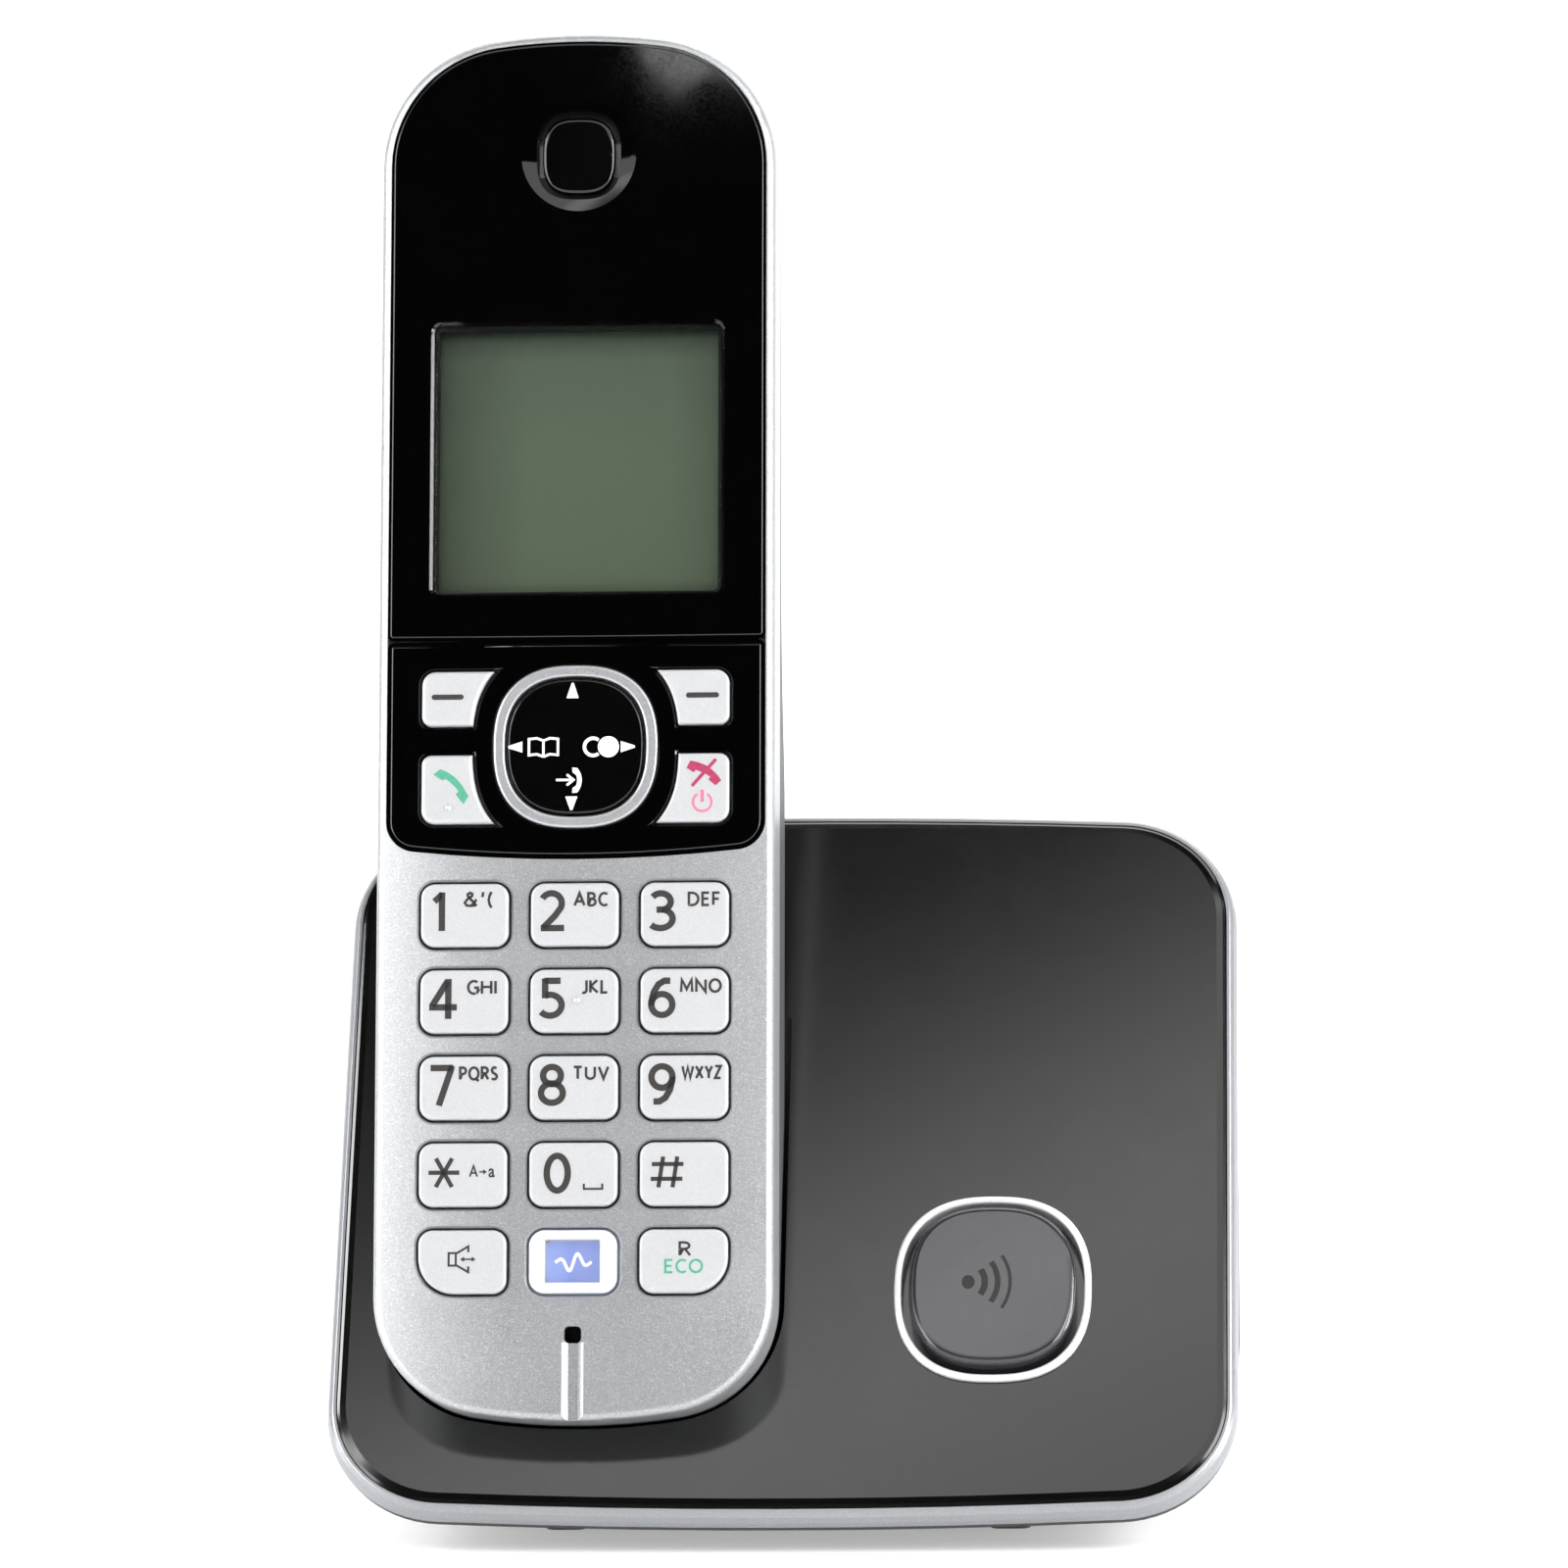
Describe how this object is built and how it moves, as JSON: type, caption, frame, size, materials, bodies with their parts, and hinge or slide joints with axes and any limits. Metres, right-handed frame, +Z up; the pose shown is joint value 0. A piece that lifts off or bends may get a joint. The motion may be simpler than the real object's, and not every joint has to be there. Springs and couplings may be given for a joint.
{
  "type": "cordless phone with base",
  "caption": "Cordless handset with keypad and small display standing in a sloping charging base with a page button and a silver rim.",
  "frame": {"origin": "middle of the base's footprint at desk level", "axes": "+Z up, the keypad and the front plate face -Y, +X to the right seen from the front"},
  "size_m": [0.1096, 0.0798, 0.1807],
  "materials": {
    "silver_paint": "metallic silver lacquer",
    "charcoal_shell": "fine matte texture",
    "charcoal_cover": "fine matte texture",
    "contact_metal": "nickel plated",
    "screw_steel": "zinc plated",
    "display_gloss_black": "piano black",
    "control_gloss_black": "piano black",
    "clear_lens": "clear acrylic",
    "lcd_glass": "grey-green LCD",
    "white_frame": "moulded",
    "cap_gloss_black": "piano black",
    "speaker_metal": "pressed",
    "microphone_metal": "can",
    "ring_chrome": "satin silver",
    "nav_gloss_black": "piano black",
    "rubber_grey": "silicone",
    "rubber_mat": "silicone",
    "dome_film": "film with steel domes",
    "circuit_board": "solder mask",
    "battery_sleeve": "printed sleeve",
    "plate_gloss_black": "piano black",
    "silver_rim": "satin silver",
    "housing_black": "fine texture",
    "cover_black": "fine texture",
    "button_gloss_grey": "gloss",
    "button_ring_silver": "satin silver",
    "switch_black": "moulded",
    "tinned_steel": "tinned",
    "socket_grey": "moulded",
    "socket_black": "moulded",
    "rubber_foot": "matte",
    "clear_key": "clear",
    "blue_insert": "printed",
    "key_silver": "pearl silver",
    "soft_key_silver": "pearl silver"
  },
  "bodies": {
    "base": {"front_plate": "plate_gloss_black", "rim_frame": "silver_rim", "upper_housing": "housing_black", "bottom_cover": "cover_black", "page_button_ring": "button_ring_silver", "page_switch": "switch_black", "page_board": "circuit_board", "base_pcb": "circuit_board", "antennas": "tinned_steel", "line_socket": "socket_grey", "power_socket": "socket_black", "rubber_feet": "rubber_foot", "base_screws": "screw_steel"},
    "handset": {"handset_front_casing": "silver_paint", "handset_rear_casing": "charcoal_shell", "handset_charge_pads": "contact_metal", "handset_screws": "screw_steel", "display_panel": "display_gloss_black", "control_panel": "control_gloss_black", "display_lens": "clear_lens", "lcd_module": "lcd_glass", "lcd_frame": "white_frame", "earpiece_cap": "cap_gloss_black", "earpiece_speaker": "speaker_metal", "loudspeaker": "speaker_metal", "microphone": "microphone_metal", "nav_ring": "ring_chrome", "keypad_mat": "rubber_mat", "dome_sheet": "dome_film", "handset_pcb": "circuit_board", "battery_left": "battery_sleeve", "battery_right": "battery_sleeve", "battery_contacts": "contact_metal"},
    "battery_cover": {"battery_cover": "charcoal_cover"},
    "nav_rocker": {"nav_rocker": "rubber_grey"},
    "nav_key": {"nav_key": "nav_gloss_black"},
    "page_button": {"page_button": "button_gloss_grey"},
    "charge_contact_left": {"charge_contact_left": "contact_metal"},
    "charge_contact_right": {"charge_contact_right": "contact_metal"},
    "key_1": {"key_1": "key_silver"},
    "key_2": {"key_2": "key_silver"},
    "key_3": {"key_3": "key_silver"},
    "key_4": {"key_4": "key_silver"},
    "key_5": {"key_5": "key_silver"},
    "key_6": {"key_6": "key_silver"},
    "key_7": {"key_7": "key_silver"},
    "key_8": {"key_8": "key_silver"},
    "key_9": {"key_9": "key_silver"},
    "key_star": {"key_star": "key_silver"},
    "key_0": {"key_0": "key_silver"},
    "key_hash": {"key_hash": "key_silver"},
    "key_speaker": {"key_speaker": "key_silver"},
    "key_noise": {"key_noise": "clear_key", "key_noise_insert": "blue_insert"},
    "key_recall": {"key_recall": "key_silver"},
    "soft_key_left": {"soft_key_left": "soft_key_silver"},
    "soft_key_right": {"soft_key_right": "soft_key_silver"},
    "talk_key": {"talk_key": "soft_key_silver"},
    "off_key": {"off_key": "soft_key_silver"}
  },
  "joints": [
    {"name": "handset_lift", "type": "slide", "parent": "base", "child": "handset", "axis": [0, 0.2419, 0.9703], "range_m": [0, 0.08]},
    {"name": "battery_cover_slide", "type": "slide", "parent": "handset", "child": "battery_cover", "axis": [0, 0.2419, 0.9703], "range_m": [0, 0.06]},
    {"name": "key_1_press", "type": "slide", "parent": "handset", "child": "key_1", "axis": [0, 0.9703, -0.2419], "range_m": [0, 0.0006], "stiffness_N_per_m": 400},
    {"name": "key_2_press", "type": "slide", "parent": "handset", "child": "key_2", "axis": [0, 0.9703, -0.2419], "range_m": [0, 0.0006], "stiffness_N_per_m": 400},
    {"name": "key_3_press", "type": "slide", "parent": "handset", "child": "key_3", "axis": [0, 0.9703, -0.2419], "range_m": [0, 0.0006], "stiffness_N_per_m": 400},
    {"name": "key_4_press", "type": "slide", "parent": "handset", "child": "key_4", "axis": [0, 0.9703, -0.2419], "range_m": [0, 0.0006], "stiffness_N_per_m": 400},
    {"name": "key_5_press", "type": "slide", "parent": "handset", "child": "key_5", "axis": [0, 0.9703, -0.2419], "range_m": [0, 0.0006], "stiffness_N_per_m": 400},
    {"name": "key_6_press", "type": "slide", "parent": "handset", "child": "key_6", "axis": [0, 0.9703, -0.2419], "range_m": [0, 0.0006], "stiffness_N_per_m": 400},
    {"name": "key_7_press", "type": "slide", "parent": "handset", "child": "key_7", "axis": [0, 0.9703, -0.2419], "range_m": [0, 0.0006], "stiffness_N_per_m": 400},
    {"name": "key_8_press", "type": "slide", "parent": "handset", "child": "key_8", "axis": [0, 0.9703, -0.2419], "range_m": [0, 0.0006], "stiffness_N_per_m": 400},
    {"name": "key_9_press", "type": "slide", "parent": "handset", "child": "key_9", "axis": [0, 0.9703, -0.2419], "range_m": [0, 0.0006], "stiffness_N_per_m": 400},
    {"name": "key_star_press", "type": "slide", "parent": "handset", "child": "key_star", "axis": [0, 0.9703, -0.2419], "range_m": [0, 0.0006], "stiffness_N_per_m": 400},
    {"name": "key_0_press", "type": "slide", "parent": "handset", "child": "key_0", "axis": [0, 0.9703, -0.2419], "range_m": [0, 0.0006], "stiffness_N_per_m": 400},
    {"name": "key_hash_press", "type": "slide", "parent": "handset", "child": "key_hash", "axis": [0, 0.9703, -0.2419], "range_m": [0, 0.0006], "stiffness_N_per_m": 400},
    {"name": "key_speaker_press", "type": "slide", "parent": "handset", "child": "key_speaker", "axis": [0, 0.9703, -0.2419], "range_m": [0, 0.0006], "stiffness_N_per_m": 400},
    {"name": "key_noise_press", "type": "slide", "parent": "handset", "child": "key_noise", "axis": [0, 0.9703, -0.2419], "range_m": [0, 0.0006], "stiffness_N_per_m": 400},
    {"name": "key_recall_press", "type": "slide", "parent": "handset", "child": "key_recall", "axis": [0, 0.9703, -0.2419], "range_m": [0, 0.0006], "stiffness_N_per_m": 400},
    {"name": "soft_key_left_press", "type": "slide", "parent": "handset", "child": "soft_key_left", "axis": [0, 0.9703, -0.2419], "range_m": [0, 0.0006], "stiffness_N_per_m": 400},
    {"name": "soft_key_right_press", "type": "slide", "parent": "handset", "child": "soft_key_right", "axis": [0, 0.9703, -0.2419], "range_m": [0, 0.0006], "stiffness_N_per_m": 400},
    {"name": "talk_key_press", "type": "slide", "parent": "handset", "child": "talk_key", "axis": [0, 0.9703, -0.2419], "range_m": [0, 0.0006], "stiffness_N_per_m": 400},
    {"name": "off_key_press", "type": "slide", "parent": "handset", "child": "off_key", "axis": [0, 0.9703, -0.2419], "range_m": [0, 0.0006], "stiffness_N_per_m": 400},
    {"name": "nav_tilt_up_down", "type": "hinge", "parent": "handset", "child": "nav_rocker", "pos_m": [-0.0243, -0.01744, 0.09456], "axis": [1, 0, 0], "range_deg": [-2.5, 2.5], "stiffness_Nm_per_rad": 0.24},
    {"name": "nav_tilt_left_right", "type": "hinge", "parent": "nav_rocker", "child": "nav_key", "pos_m": [-0.0243, -0.01744, 0.09456], "axis": [0, 0.2419, 0.9703], "range_deg": [-2.5, 2.5], "stiffness_Nm_per_rad": 0.24},
    {"name": "page_button_press", "type": "slide", "parent": "base", "child": "page_button", "axis": [0, 0.8192, -0.5736], "range_m": [0, 0.001], "stiffness_N_per_m": 500},
    {"name": "charge_contact_left_press", "type": "slide", "parent": "base", "child": "charge_contact_left", "axis": [0, -0.2419, -0.9703], "range_m": [0, 0.0008], "stiffness_N_per_m": 300},
    {"name": "charge_contact_right_press", "type": "slide", "parent": "base", "child": "charge_contact_right", "axis": [0, -0.2419, -0.9703], "range_m": [0, 0.0008], "stiffness_N_per_m": 300}
  ]
}
